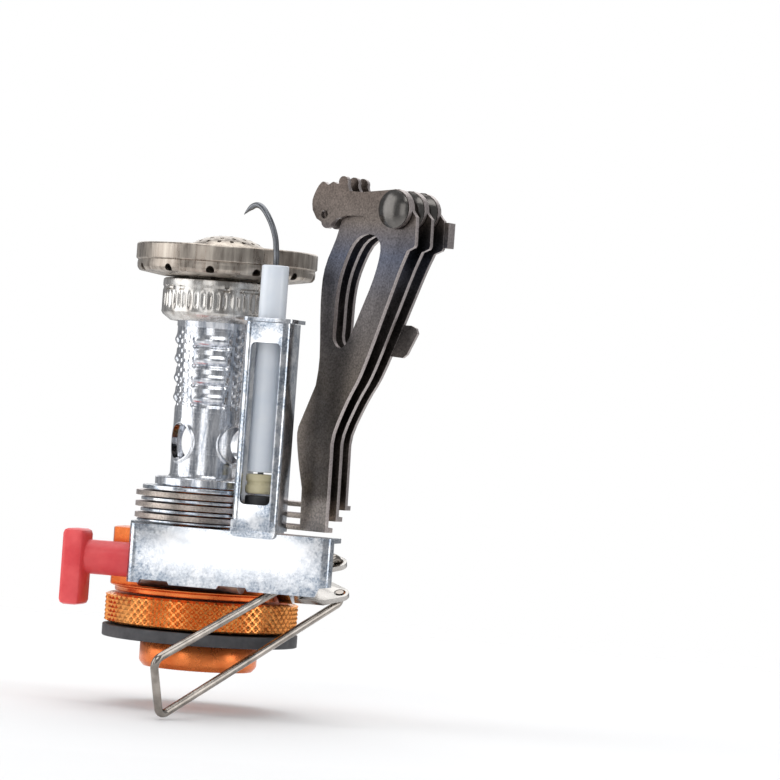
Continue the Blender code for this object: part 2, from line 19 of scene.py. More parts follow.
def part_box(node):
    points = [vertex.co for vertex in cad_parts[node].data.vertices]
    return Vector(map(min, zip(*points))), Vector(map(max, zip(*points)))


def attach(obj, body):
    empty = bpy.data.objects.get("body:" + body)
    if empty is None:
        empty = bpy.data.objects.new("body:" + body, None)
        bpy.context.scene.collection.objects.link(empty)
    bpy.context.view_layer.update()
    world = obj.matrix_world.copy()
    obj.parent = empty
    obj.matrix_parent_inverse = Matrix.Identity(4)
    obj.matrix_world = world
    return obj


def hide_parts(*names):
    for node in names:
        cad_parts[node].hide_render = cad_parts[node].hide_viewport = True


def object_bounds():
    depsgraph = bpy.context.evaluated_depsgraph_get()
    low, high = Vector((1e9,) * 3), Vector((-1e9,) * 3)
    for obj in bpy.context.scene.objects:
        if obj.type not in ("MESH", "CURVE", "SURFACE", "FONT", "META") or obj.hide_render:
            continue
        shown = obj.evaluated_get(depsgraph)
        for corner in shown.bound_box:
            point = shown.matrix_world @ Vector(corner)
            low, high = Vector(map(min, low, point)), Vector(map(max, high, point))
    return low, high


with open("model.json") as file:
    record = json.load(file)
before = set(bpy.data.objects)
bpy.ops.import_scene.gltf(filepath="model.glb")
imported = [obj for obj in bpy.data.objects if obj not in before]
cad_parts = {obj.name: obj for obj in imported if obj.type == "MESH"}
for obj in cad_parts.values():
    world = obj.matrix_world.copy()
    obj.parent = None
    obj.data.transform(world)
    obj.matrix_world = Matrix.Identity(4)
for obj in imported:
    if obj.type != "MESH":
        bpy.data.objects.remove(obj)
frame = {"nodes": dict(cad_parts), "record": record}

cad_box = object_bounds()
scene = bpy.context.scene
MM = 0.001

# %% [markdown]
# ## Camera
#
# A product shot of something this small is taken from more than half a metre with a long lens, so that
# its upright lines stay parallel. The stove is seen a little from its right, and it leans about four
# degrees to the right in the frame. That lean is a roll of the camera, so the model itself stays
# upright.

# %% Camera
AZIMUTH, ELEVATION, ROLL = math.radians(14.0), math.radians(-0.24), math.radians(4.197)
DISTANCE = 0.6467
LENS_MM, SENSOR_MM = 184.6, 36.0
aim = Vector((0.0278 * math.cos(AZIMUTH), 0.0278 * math.sin(AZIMUTH), 0.0471))

ground_part = math.cos(ELEVATION)
back = Vector((math.sin(AZIMUTH) * ground_part, -math.cos(AZIMUTH) * ground_part, math.sin(ELEVATION)))
sideways = Vector((0, 0, 1)).cross(back).normalized()
upward = back.cross(sideways)
right = math.cos(ROLL) * sideways + math.sin(ROLL) * upward
up = math.cos(ROLL) * upward - math.sin(ROLL) * sideways
lens = bpy.data.cameras.new("camera")
lens.lens, lens.sensor_width = LENS_MM, SENSOR_MM
lens.clip_start = 0.01
camera = bpy.data.objects.new("camera", lens)
turn = Matrix((right, up, back)).transposed().to_4x4()
camera.matrix_world = Matrix.Translation(aim + back * DISTANCE) @ turn
scene.collection.objects.link(camera)
scene.camera = camera
print("camera at", [round(v, 3) for v in camera.matrix_world.translation])

# %% [markdown]
# ## A finish to start from
#
# Each finish starts from one Principled shader. Two or three noise patterns then drive its colour, its
# roughness and a bump. Patterns are laid out in object space, in metres, so a grain of half a
# millimetre is a scale of 2000. Stretching the coordinates along one axis turns the same noise into the
# lines that a lathe or a flame leaves.

# %% A finish to start from


def new_finish(name, color, metallic, roughness):
    """A material with a Principled shader, and the two nodes that every pattern hangs on."""
    made = bpy.data.materials.new(name)
    made.use_nodes = True
    tree = made.node_tree
    shader = tree.nodes["Principled BSDF"]
    shader.inputs["Base Color"].default_value = (*color, 1)
    shader.inputs["Metallic"].default_value = metallic
    shader.inputs["Roughness"].default_value = roughness
    place = tree.nodes.new("ShaderNodeTexCoord")
    return made, tree, shader, place.outputs["Object"]


def stretched(tree, where, scale):
    """The coordinates scaled along each axis, so that a grain runs one way."""
    node = tree.nodes.new("ShaderNodeMapping")
    node.inputs["Scale"].default_value = scale
    tree.links.new(where, node.inputs["Vector"])
    return node.outputs["Vector"]


def noise(tree, where, scale, detail=3.0, rough=0.55):
    node = tree.nodes.new("ShaderNodeTexNoise")
    node.inputs["Scale"].default_value = scale
    node.inputs["Detail"].default_value = detail
    node.inputs["Roughness"].default_value = rough
    tree.links.new(where, node.inputs["Vector"])
    return node.outputs["Fac"]


# %% [markdown]
# ## Colour, roughness and bump
#
# A ramp turns a pattern into colours, or into greys for the roughness. A bump is chained after any bump
# that is already there, so a finish can have a coarse unevenness under a fine grain. A number that is
# the same all over stays on the shader's own socket.

# %% Colour, roughness and bump


def ramp(tree, fac, stops):
    """A colour ramp from (position, colour) stops. A colour may be one grey number."""
    node = tree.nodes.new("ShaderNodeValToRGB")
    band = node.color_ramp
    while len(band.elements) < len(stops):
        band.elements.new(0.5)
    for element, (position, color) in zip(band.elements, stops):
        element.position = position
        shade = color if isinstance(color, tuple) else (color,) * 3
        element.color = (*shade, 1)
    tree.links.new(fac, node.inputs["Fac"])
    return node.outputs["Color"]


def vary_roughness(tree, shader, fac, low, high):
    tree.links.new(ramp(tree, fac, [(0.3, low), (0.7, high)]), shader.inputs["Roughness"])


def add_bump(tree, shader, height, strength, depth_mm):
    """A bump, chained after any that the shader already has."""
    node = tree.nodes.new("ShaderNodeBump")
    node.inputs["Strength"].default_value = strength
    node.inputs["Distance"].default_value = depth_mm * MM
    tree.links.new(height, node.inputs["Height"])
    if shader.inputs["Normal"].is_linked:
        tree.links.new(shader.inputs["Normal"].links[0].from_socket, node.inputs["Normal"])
    tree.links.new(node.outputs["Normal"], shader.inputs["Normal"])


# %% [markdown]
# ## Anodised orange
#
# The collar, the ring and the valve body are aluminium, bead-blasted and then dyed. Dyed oxide keeps a
# metal's reflections but scatters them, so the shader stays mostly metallic with a middling roughness.
# The blasting is a fine noise bump, and the dye is a shade deeper in patches. Fingers polish the
# knurled ring, so it is glossier, and its orange is painted paler and yellower as a painted highlight.

# %% Anodised orange


def anodised(name, deep, light, gloss):
    """Dyed aluminium. gloss is its lowest roughness."""
    made, tree, shader, where = new_finish(name, light, 0.85, gloss)
    patches = ramp(tree, noise(tree, where, 260, 4), [(0.3, deep), (0.7, light)])
    tree.links.new(patches, shader.inputs["Base Color"])
    vary_roughness(tree, shader, noise(tree, where, 900), gloss, gloss + 0.14)
    add_bump(tree, shader, noise(tree, where, 5200, 2), 0.3, 0.015)
    return made


ORANGE = anodised("anodised_orange", (0.72, 0.155, 0.035), (0.90, 0.26, 0.07), 0.22)
# The knurled ring's paler, yellower orange is a painted highlight; its lower roughness is the polish of
# fingers.
WORN_AND_SHEEN_ORANGE = anodised("worn_and_sheen_orange", (0.80, 0.24, 0.05), (0.98, 0.44, 0.13), 0.12)
print("oranges:", ORANGE.name, WORN_AND_SHEEN_ORANGE.name)

# %% [markdown]
# ## Turned aluminium
#
# The mixer tube and its foot are turned, so fine tool lines run round the axis: that noise varies only
# along Z, and drives the roughness and the bump. Handling leaves darker upright streaks, from a second
# noise that is stretched the other way.

# %% Turned aluminium


def turned_aluminium():
    made, tree, shader, where = new_finish("turned_aluminium", (0.86, 0.87, 0.89), 1.0, 0.16)
    lines = noise(tree, stretched(tree, where, (60, 60, 4200)), 1.0, 4, 0.7)
    streaks = noise(tree, stretched(tree, where, (1500, 1500, 260)), 1.0, 5, 0.65)
    tone = ramp(tree, streaks, [(0.34, (0.34, 0.37, 0.42)), (0.6, (0.82, 0.83, 0.86))])
    tree.links.new(tone, shader.inputs["Base Color"])
    vary_roughness(tree, shader, lines, 0.10, 0.28)
    add_bump(tree, shader, lines, 0.25, 0.015)
    return made


ALUMINIUM = turned_aluminium()
print("turned:", ALUMINIUM.name)

# %% [markdown]
# ## Masks
#
# Some finishes change from place to place: heat tints a support more near the flame, and plate goes
# dull near an edge. A mask is a number from 0 to 1 for each point. It comes from a coordinate, rescaled
# between two heights, and it blends two colours.

# %% Masks


def blend_colors(tree, fac, one, two, mode="MIX"):
    """Two colour outputs mixed by an output or a number."""
    node = tree.nodes.new("ShaderNodeMix")
    node.data_type, node.blend_type = "RGBA", mode
    for key, value in (("Factor", fac), ("A", one), ("B", two)):
        socket = next(s for s in node.inputs if s.name == key and s.enabled)
        if isinstance(value, (int, float)):
            socket.default_value = value
        else:
            tree.links.new(value, socket)
    return next(s for s in node.outputs if s.enabled)


def height_of(tree, where):
    node = tree.nodes.new("ShaderNodeSeparateXYZ")
    tree.links.new(where, node.inputs["Vector"])
    return node.outputs["Z"]


def rescale(tree, value, low, high):
    node = tree.nodes.new("ShaderNodeMapRange")
    node.inputs["From Min"].default_value = low
    node.inputs["From Max"].default_value = high
    tree.links.new(value, node.inputs["Value"])
    return node.outputs["Result"]


# %% [markdown]
# ## Plated sheet
#
# The folded sheet parts are zinc plated. The plating shows as small blue-grey grains, made with a noise
# of about a third of a millimetre that darkens the colour and roughens it at the same time. Where the
# grains show is a mask, given as a function, so that one finish serves the evenly dulled channel and
# the box, which is polished in the middle of its face.

# %% Plated sheet


def plated_sheet(name, dull):
    """Bright zinc plate. dull(tree, where) gives a mask, from 0 to 1, of where it has gone blue-grey."""
    made, tree, shader, where = new_finish(name, (0.85, 0.86, 0.88), 1.0, 0.15)
    grain = noise(tree, where, 2900, 5, 0.7)
    clouds = noise(tree, where, 210, 3)
    bright = ramp(tree, clouds, [(0.3, (0.84, 0.86, 0.89)), (0.6, (0.95, 0.95, 0.96))])
    stops = [(0.36, (0.15, 0.19, 0.25)), (0.5, (0.38, 0.43, 0.50)), (0.68, (0.68, 0.71, 0.75))]
    blue = ramp(tree, grain, stops)
    tree.links.new(blend_colors(tree, dull(tree, where), bright, blue), shader.inputs["Base Color"])
    vary_roughness(tree, shader, grain, 0.12, 0.26)
    add_bump(tree, shader, clouds, 0.25, 0.04)
    add_bump(tree, shader, grain, 0.12, 0.01)
    return made


def dull_patches(tree, where):
    return ramp(tree, noise(tree, where, 330, 5, 0.65), [(0.4, 0.1), (0.58, 0.95)])


def dull_ends(tree, where):
    """Dull towards both ends of the box and along its lower edge, with a ragged limit."""
    parts = tree.nodes.new("ShaderNodeSeparateXYZ")
    tree.links.new(where, parts.inputs["Vector"])
    from_left = rescale(tree, parts.outputs["X"], -0.0082, 0.0251)
    from_foot = rescale(tree, parts.outputs["Z"], 0.0138, 0.0231)
    ends = ramp(tree, from_left, [(0.0, 1.0), (0.24, 0.1), (0.8, 0.1), (1.0, 0.9)])
    edges = ramp(tree, from_foot, [(0.0, 1.0), (0.45, 0.2), (0.85, 0.0), (1.0, 0.6)])
    both = blend_colors(tree, 1.0, ends, edges, "ADD")
    ragged = ramp(tree, noise(tree, where, 520, 6, 0.7), [(0.32, 0.0), (0.58, 1.0)])
    return blend_colors(tree, 1.0, both, ragged, "MULTIPLY")


PLATED = plated_sheet("plated_sheet", dull_patches)
BOX_PLATE = plated_sheet("box_plate", dull_ends)
print("plated:", PLATED.name, BOX_PLATE.name)

# %% [markdown]
# ## Grey metals
#
# Drawn wire, rivets and small cast parts differ only in how dark and how polished they are. One finish
# with two shades and a roughness makes them all, and the drift between the shades keeps each from
# looking like paint.

# %% Grey metals


def grey_metal(name, dark, light, roughness):
    """Drawn wire and cut sheet: a grey that drifts between two shades."""
    made, tree, shader, where = new_finish(name, light, 1.0, roughness)
    clouds = noise(tree, where, 380, 4)
    tree.links.new(ramp(tree, clouds, [(0.3, dark), (0.7, light)]), shader.inputs["Base Color"])
    vary_roughness(tree, shader, clouds, roughness * 0.7, roughness * 1.4)
    add_bump(tree, shader, noise(tree, where, 1900, 3), 0.2, 0.02)
    return made


NICKEL = grey_metal("nickel_wire", (0.20, 0.18, 0.16), (0.46, 0.42, 0.38), 0.18)
RIVET_STEEL = grey_metal("rivet_steel", (0.09, 0.085, 0.08), (0.19, 0.18, 0.17), 0.2)
MODULE_CASE = grey_metal("module_case", (0.40, 0.40, 0.41), (0.58, 0.58, 0.58), 0.4)
SPARK_STEEL = grey_metal("spark_steel", (0.12, 0.125, 0.135), (0.26, 0.27, 0.29), 0.3)
CLEVIS_STEEL = grey_metal("clevis_steel", (0.42, 0.40, 0.38), (0.62, 0.60, 0.57), 0.28)
print("greys:", NICKEL.name, RIVET_STEEL.name, MODULE_CASE.name, SPARK_STEEL.name, CLEVIS_STEEL.name)

# %% [markdown]
# ## Heated burner steel
#
# The burner head has been hot, which leaves a brown-grey bloom, streaked from top to bottom. The neck
# below it stayed cooler and brighter. Both use a noise stretched along Z, with a darker range of
# colours for the head.

# %% Heated burner steel


def burner_steel():
    made, tree, shader, where = new_finish("burner_steel", (0.42, 0.37, 0.32), 1.0, 0.3)
    streaks = noise(tree, stretched(tree, where, (900, 900, 120)), 1.0, 5, 0.65)
    browns = [(0.28, (0.20, 0.16, 0.13)), (0.5, (0.42, 0.37, 0.32)), (0.72, (0.66, 0.60, 0.52))]
    tone = ramp(tree, streaks, browns)
    tree.links.new(tone, shader.inputs["Base Color"])
    vary_roughness(tree, shader, streaks, 0.22, 0.44)
    add_bump(tree, shader, noise(tree, where, 2400, 4), 0.25, 0.02)
    return made


def neck_steel():
    made, tree, shader, where = new_finish("neck_steel", (0.62, 0.60, 0.57), 1.0, 0.24)
    streaks = noise(tree, stretched(tree, where, (700, 700, 160)), 1.0, 5, 0.65)
    greys = [(0.3, (0.36, 0.33, 0.30)), (0.55, (0.66, 0.64, 0.61)), (0.75, (0.85, 0.84, 0.82))]
    tone = ramp(tree, streaks, greys)
    tree.links.new(tone, shader.inputs["Base Color"])
    vary_roughness(tree, shader, streaks, 0.16, 0.34)
    add_bump(tree, shader, noise(tree, where, 2600, 3), 0.2, 0.015)
    return made


HOT_STEEL = burner_steel()
NECK = neck_steel()
print("burner:", HOT_STEEL.name, NECK.name)

# %% [markdown]
# ## Support steel
#
# The supports are dark steel. Their heat tint goes through straw, brown and blue with distance from the
# flame, so a ramp on height gives it, broken up by noise. Where the sheet was sheared the black scale
# is gone, so faces that look along the sheet are lighter. The sheets all stand within a few degrees of
# one plane, and the share of the normal that points across that plane tells which faces those are.

# %% Support steel
SHEET_TURN = math.radians(-19)


def support_steel():
    made, tree, shader, where = new_finish("support_steel", (0.2, 0.19, 0.18), 1.0, 0.34)
    grain = noise(tree, where, 3200, 4, 0.65)
    clouds = noise(tree, where, 150, 4)
    steel = ramp(tree, grain, [(0.32, (0.075, 0.068, 0.062)), (0.68, (0.175, 0.156, 0.143))])
    heat = [(0.0, (3.9, 3.8, 3.7)), (0.07, (3.5, 3.4, 3.3)), (0.1, (1.25, 1.2, 1.15))]
    heat += [(0.42, (1.0, 0.95, 0.9)), (0.66, (0.85, 0.88, 0.98)), (0.78, (0.66, 0.80, 1.15))]
    heat += [(0.88, (0.95, 0.9, 0.88)), (1.0, (0.9, 0.8, 0.76))]
    tint = ramp(tree, rescale(tree, height_of(tree, where), 0.024, 0.080), heat)
    patchy = ramp(tree, clouds, [(0.35, 0.72), (0.65, 1.25)])
    tinted = blend_colors(tree, 1.0, steel, tint, "MULTIPLY")
    plate = blend_colors(tree, 0.8, tinted, patchy, "MULTIPLY")
    facing = tree.nodes.new("ShaderNodeVectorMath")
    facing.operation = "DOT_PRODUCT"
    facing.inputs[1].default_value = (math.sin(SHEET_TURN), -math.cos(SHEET_TURN), 0)
    coordinates = next(n for n in tree.nodes if n.type == "TEX_COORD")
    tree.links.new(coordinates.outputs["Normal"], facing.inputs[0])
    square_on = tree.nodes.new("ShaderNodeMath")
    square_on.operation = "ABSOLUTE"
    tree.links.new(facing.outputs["Value"], square_on.inputs[0])
    sheared = ramp(tree, square_on.outputs["Value"], [(0.62, 0.85), (0.9, 0.0)])
    bare = ramp(tree, grain, [(0.3, (0.36, 0.31, 0.30)), (0.7, (0.66, 0.60, 0.58))])
    tree.links.new(blend_colors(tree, sheared, plate, bare), shader.inputs["Base Color"])
    vary_roughness(tree, shader, clouds, 0.26, 0.46)
    add_bump(tree, shader, grain, 0.3, 0.02)
    return made


DARK_STEEL = support_steel()
print("supports:", DARK_STEEL.name)

# %% [markdown]
# ## Rubber, plastics, ceramic and brass
#
# Apart from the brass these are not metals, so their colour is in the base and the reflection is weak.
# The button's plastic is coral red with the grain of its mould, the disc is matt rubber with dust in
# its pores, and the ceramic is glazed.

# %% Rubber, plastics, ceramic and brass


def soft_finish(name, dark, light, roughness, grain_scale, grain, depth_mm):
    """A non-metal whose colour drifts between two shades, with a fine grain."""
    made, tree, shader, where = new_finish(name, light, 0.0, roughness)
    clouds = noise(tree, where, 300, 4)
    tree.links.new(ramp(tree, clouds, [(0.3, dark), (0.7, light)]), shader.inputs["Base Color"])
    vary_roughness(tree, shader, noise(tree, where, grain_scale / 2), roughness * 0.85, roughness * 1.15)
    add_bump(tree, shader, noise(tree, where, grain_scale, 3), grain, depth_mm)
    return made


def brass():
    made, tree, shader, where = new_finish("brass", (0.78, 0.58, 0.26), 1.0, 0.26)
    clouds = noise(tree, where, 500, 3)
    tone = ramp(tree, clouds, [(0.3, (0.66, 0.46, 0.18)), (0.7, (0.86, 0.66, 0.34))])
    tree.links.new(tone, shader.inputs["Base Color"])
    add_bump(tree, shader, noise(tree, where, 2400), 0.15, 0.01)
    return made


BRASS = brass()
RUBBER = soft_finish("black_rubber", (0.045, 0.045, 0.05), (0.085, 0.085, 0.09), 0.7, 3000, 0.5, 0.03)
CORAL = soft_finish("coral_plastic", (0.78, 0.05, 0.06), (0.92, 0.11, 0.115), 0.4, 2600, 0.4, 0.04)
BLACK = soft_finish("black_plastic", (0.02, 0.02, 0.022), (0.05, 0.05, 0.052), 0.45, 2200, 0.25, 0.02)
GLAZE = soft_finish("glazed_ceramic", (0.80, 0.86, 0.94), (0.88, 0.92, 0.97), 0.2, 1500, 0.06, 0.01)
CREAM = soft_finish("cream_sleeve", (0.62, 0.55, 0.33), (0.78, 0.71, 0.49), 0.4, 1800, 0.3, 0.03)
print("finishes:", len(bpy.data.materials))

# %% [markdown]
# ## Handing a piece to the frame
#
# Every piece goes the same way. It gets its finish, it rides on the body that carries it, and it takes
# the place of the frame parts it stands for. Smooth shading with sharp creases makes a turned surface
# look round without losing its edges.

# %% Handing a piece to the frame


def show(name, mesh, finish, body, nodes, place=None):
    """Links a piece, gives it its finish, and hands it to the frame."""
    piece = bpy.data.objects.new(name, mesh)
    piece.matrix_world = place or Matrix()
    mesh.materials.clear()
    mesh.materials.append(finish)
    scene.collection.objects.link(piece)
    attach(piece, body)
    if nodes:
        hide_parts(*nodes)
    return piece


def smooth(mesh, angle=40):
    mesh.shade_smooth()
    mesh.set_sharp_from_angle(angle=math.radians(angle))


def size_of(node):
    """(outer radius, lowest, highest) of a part round the stem, in millimetres."""
    low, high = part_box(node)
    return high.y / MM, low.z / MM, high.z / MM


# %% [markdown]
# ## Turned parts
#
# A turned part is a closed section swept round an axis, with an optional relief that moves a point in
# or out by its angle: that gives knurls and flutes. The section's corners are eased first. Without
# those small rounded edges metal looks like paper, because nothing catches the light.

# %% Turned parts


def eased(points, radius, count=3):
    """The closed section with each corner rounded, except where it lies on the axis."""
    made = []
    for i, here in enumerate(points):
        before, after = Vector(points[i - 1]), Vector(points[(i + 1) % len(points)])
        here = Vector(here)
        one, two = before - here, after - here
        reach = min(radius, 0.45 * one.length, 0.45 * two.length)
        if here.x == 0 or one.angle(two) > math.radians(172):
            made.append(tuple(here))
            continue
        start, end = here + one.normalized() * reach, here + two.normalized() * reach
        for k in range(count + 1):
            t = k / count
            point = start.lerp(here, t).lerp(here.lerp(end, t), t)
            made.append(tuple(point))
    return made


def lathe(name, section, around=96, relief=None):
    """A solid of revolution from a closed section in millimetres, down the outer side and up the inner one.

    relief(turn, index) moves a point out, in millimetres. turn goes from 0 to 1 round the axis.
    """
    work = bmesh.new()
    on_axis = section[0][0] == 0
    rings = []
    for index, (radius, height) in enumerate(section):
        if radius == 0:
            rings.append([work.verts.new((0, 0, height * MM))] * around)
            continue
        ring = []
        for i in range(around):
            turn = i / around
            out = (radius + (relief(turn, index) if relief else 0.0)) * MM
            angle = 2 * math.pi * turn
            ring.append(work.verts.new((out * math.cos(angle), out * math.sin(angle), height * MM)))
        rings.append(ring)
    pairs = list(zip(rings, rings[1:]))
    if not on_axis:
        pairs.append((rings[-1], rings[0]))
    for upper, lower in pairs:
        for i in range(around):
            j = (i + 1) % around
            corners = []
            for vert in (upper[i], lower[i], lower[j], upper[j]):
                if vert not in corners:
                    corners.append(vert)
            work.faces.new(corners)
    bmesh.ops.recalc_face_normals(work, faces=work.faces)
    mesh = bpy.data.meshes.new(name)
    work.to_mesh(mesh)
    work.free()
    smooth(mesh)
    return mesh


# %% [markdown]
# ## Pressed and machined parts
#
# A pressed or machined part takes its shape from the frame's own mesh, and only gets the small rounded
# edges that real tools leave. Flat faces are joined first, so that the bevel runs along whole edges and
# not along triangles.

# %% Pressed and machined parts


def softened(node, width_mm, sharp=35, segments=3):
    """A copy of a frame part's mesh with its sharp edges rounded."""
    work = bmesh.new()
    work.from_mesh(frame["nodes"][node].data)
    bmesh.ops.remove_doubles(work, verts=work.verts, dist=2e-6)
    bmesh.ops.dissolve_limit(work, angle_limit=math.radians(0.5), verts=work.verts, edges=work.edges)
    edges = [e for e in work.edges if len(e.link_faces) == 2 and e.calc_face_angle() > math.radians(sharp)]
    if width_mm:
        bmesh.ops.bevel(
            work, geom=edges, offset=width_mm * MM, offset_type="OFFSET", segments=segments, profile=0.6,
            affect="EDGES", clamp_overlap=True,
        )
    bmesh.ops.recalc_face_normals(work, faces=work.faces)
    mesh = bpy.data.meshes.new(node + "_fine")
    work.to_mesh(mesh)
    work.free()
    smooth(mesh, 50)
    return mesh


# %% [markdown]
# ## The threaded collar and its seal
#
# The collar screws on to the canister, so its socket has a fine internal thread of 28 turns to the
# inch. A true helix adds little here, because only the crests show, so each turn is a ring in the
# section.

# %% Collar
collar_r, _, collar_top = size_of("threaded_collar")
THREAD_PITCH = 25.4 / 28
THREAD_TURNS = 6
VENT_R, SOCKET_R, SLEEVE_R, RIM_TOP = 1.4, 5.55, 7.4, 4.15
collar_section = [(VENT_R, collar_top), (SLEEVE_R, collar_top), (SLEEVE_R, RIM_TOP)]
collar_section += [(collar_r - 0.25, RIM_TOP), (collar_r, RIM_TOP - 0.3), (collar_r, 1.0)]
collar_section += [(collar_r - 0.15, 0.6), (collar_r - 0.7, 0.0)]
collar_section += [(SOCKET_R + 0.9, 0.0), (SOCKET_R + 0.35, 0.7)]
for thread in range(THREAD_TURNS):
    z = 1.0 + thread * THREAD_PITCH
    collar_section += [(SOCKET_R - 0.25, z + 0.12), (SOCKET_R - 0.25, z + 0.3), (SOCKET_R + 0.2, z + 0.62)]
collar_section += [(SOCKET_R, 6.8), (SOCKET_R, 8.5), (VENT_R, 8.5)]
collar = lathe("collar", collar_section, 128)
show("collar", collar, ORANGE, "stove", ["threaded_collar"])
for node, finish, slot in (("canister_seal", RUBBER, "black_rubber"), ("depressor_pin", BRASS, "brass")):
    show(node + "_fine", softened(node, 0.0), finish, "stove", [node])
print("collar", round(2 * collar_r, 2), "mm across with", THREAD_TURNS, "turns of thread")

# %% [markdown]
# ## The rubber disc
#
# The disc is a stamped washer of rubber with a slightly rounded edge. It keeps the stove from marking
# the canister, and it is a plain turned section.

# %% Disc
disc_r, disc_foot, disc_top = size_of("rubber_disc")
HUB_R = 7.7
disc_outline = [(HUB_R, disc_top), (disc_r, disc_top), (disc_r, disc_foot), (HUB_R, disc_foot)]
disc_section = eased(disc_outline, 0.14)
show("disc", lathe("disc", disc_section, 128), RUBBER, "stove", ["rubber_disc"])
print("disc", round(2 * disc_r, 2), "mm across and", round(disc_top - disc_foot, 2), "mm thick")

# %% [markdown]
# ## The knurled ring
#
# Above the disc is the ring the fingers grip. Its diamond knurl could be a bump, but the raised points
# break up the ring's outline and catch separate highlights, so they are real pyramids: where two sets
# of slanted grooves cross, the height is the smaller of two triangle waves.

# %% Knurled ring
KNURLS_ROUND, KNURL_ROWS, KNURL_DEPTH = 66, 3, 0.5
FINE = 6  # mesh rows, and mesh columns, in each diamond


def triangle_wave(x):
    return 1 - abs(2 * (x % 1.0) - 1)


def knurl(turn, row):
    """Height of the diamond pattern, at a turn round the axis and a row down the band."""
    across, along = turn * KNURLS_ROUND, row / FINE
    return KNURL_DEPTH * min(1.0, 1.25 * min(triangle_wave(across + along), triangle_wave(across - along)))


ring_r, ring_foot, ring_top = size_of("knurled_ring")
ring_root = ring_r - KNURL_DEPTH
band_low, band_high = ring_foot + 0.35, ring_top - 0.35
band_step = (band_high - band_low) / (KNURL_ROWS * FINE)
band = [band_high - band_step * i for i in range(KNURL_ROWS * FINE + 1)]
ring_section = [(HUB_R, ring_top), (ring_root - 0.5, ring_top), (ring_root - 0.1, ring_top - 0.1)]
first = len(ring_section)
ring_section += [(ring_root, z) for z in band]
ring_section += [(ring_root - 0.1, ring_foot + 0.1), (ring_root - 0.5, ring_foot), (HUB_R, ring_foot)]


def ring_relief(turn, index):
    row = index - first
    return knurl(turn, row) if 0 <= row < len(band) else 0.0


ring_mesh = lathe("ring", ring_section, KNURLS_ROUND * FINE, ring_relief)
smooth(ring_mesh, 12)
show("ring", ring_mesh, WORN_AND_SHEEN_ORANGE, "stove", ["knurled_ring"])
print("ring has", KNURLS_ROUND * KNURL_ROWS, "diamonds and", len(ring_mesh.polygons), "faces")

# %% [markdown]
# ## Cutting
#
# Milled flats and drilled holes are taken out of a finished blank, as in the shop. Each cutter is a
# closed mesh, and the Boolean's result becomes the new mesh. Several holes of one size go into one
# cutter, which is much faster than one Boolean for each.

# %% Cutting


def cut(mesh, cutters, name):
    """The mesh with closed cutter meshes taken out of it."""
    target = bpy.data.objects.new(name + "_blank", mesh)
    scene.collection.objects.link(target)
    made = []
    for i, cutter_mesh in enumerate(cutters):
        cutter = bpy.data.objects.new(f"{name}_cutter_{i}", cutter_mesh)
        scene.collection.objects.link(cutter)
        made.append(cutter)
        modifier = target.modifiers.new(cutter.name, "BOOLEAN")
        modifier.operation = "DIFFERENCE"
        modifier.object = cutter
    bpy.context.view_layer.update()
    graph = bpy.context.evaluated_depsgraph_get()
    result = bpy.data.meshes.new_from_object(target.evaluated_get(graph))
    for item in [target] + made:
        bpy.data.objects.remove(item)
    smooth(result)
    return result


def pegs(name, axes, radius_mm, sides=20):
    """One mesh of cylinders, from (start, end) pairs in millimetres, to cut holes with."""
    work = bmesh.new()
    for start, end in axes:
        start, end = Vector(start) * MM, Vector(end) * MM
        turn = (end - start).to_track_quat("Z", "Y").to_matrix().to_4x4()
        bmesh.ops.create_cone(
            work, cap_ends=True, segments=sides, radius1=radius_mm * MM, radius2=radius_mm * MM,
            depth=(end - start).length, matrix=Matrix.Translation((start + end) / 2) @ turn,
        )
    mesh = bpy.data.meshes.new(name)
    work.to_mesh(mesh)
    work.free()
    return mesh


def box_mesh(name, corner_low, corner_high):
    work = bmesh.new()
    bmesh.ops.create_cube(work, size=1)
    size, middle = Vector(corner_high) - Vector(corner_low), (Vector(corner_high) + Vector(corner_low)) / 2
    bmesh.ops.scale(work, vec=size * MM, verts=work.verts)
    bmesh.ops.translate(work, vec=middle * MM, verts=work.verts)
    mesh = bpy.data.meshes.new(name)
    work.to_mesh(mesh)
    work.free()
    return mesh


# %% [markdown]
# ## The valve body
#
# A turned block with two milled flats: one makes room for the igniter, and the other seats the gland
# nut. It takes its shape from a fine lathe section, and each flat is a box taken out of it, as the mill
# would.

# %% Valve body
BOSS_R = 5.6
body_r, body_foot, body_top = size_of("valve_body")
shoulder = 21.95
body_outline = [(1.2, body_top), (BOSS_R, body_top), (BOSS_R, shoulder), (body_r, shoulder)]
body_outline += [(body_r, body_foot + 0.9), (body_r - 0.8, body_foot + 0.8)]
body_outline += [(body_r - 0.8, body_foot), (1.2, body_foot)]
body_section = eased(body_outline, 0.25)

FLAT_Y, FLAT_X, AXIS_Z = -6.5, 12.6, 16.2
igniter_flat = box_mesh("igniter_flat", (-20, -20, 12.9), (20, FLAT_Y, 22.5))
gland_flat = box_mesh("gland_flat", (FLAT_X, -20, 11), (20, 20, 22.5))
bore = pegs("spindle_bore", [((0.6, 0, AXIS_Z), (15, 0, AXIS_Z))], 2.9, 48)
body_mesh = cut(lathe("body", body_section, 128), [igniter_flat, gland_flat, bore], "body")
show("body", body_mesh, ORANGE, "stove", ["valve_body"])
print("valve body has", len(body_mesh.polygons), "faces")

# %% [markdown]
# ## Small parts round the valve
#
# The jet, the gland nut, the spindle and the clevis are small and partly hidden. Their frame meshes are
# right, so they only need softer edges and a real finish. Each row gives the part, its finish, its
# slot, its body and the width of its rounded edges.

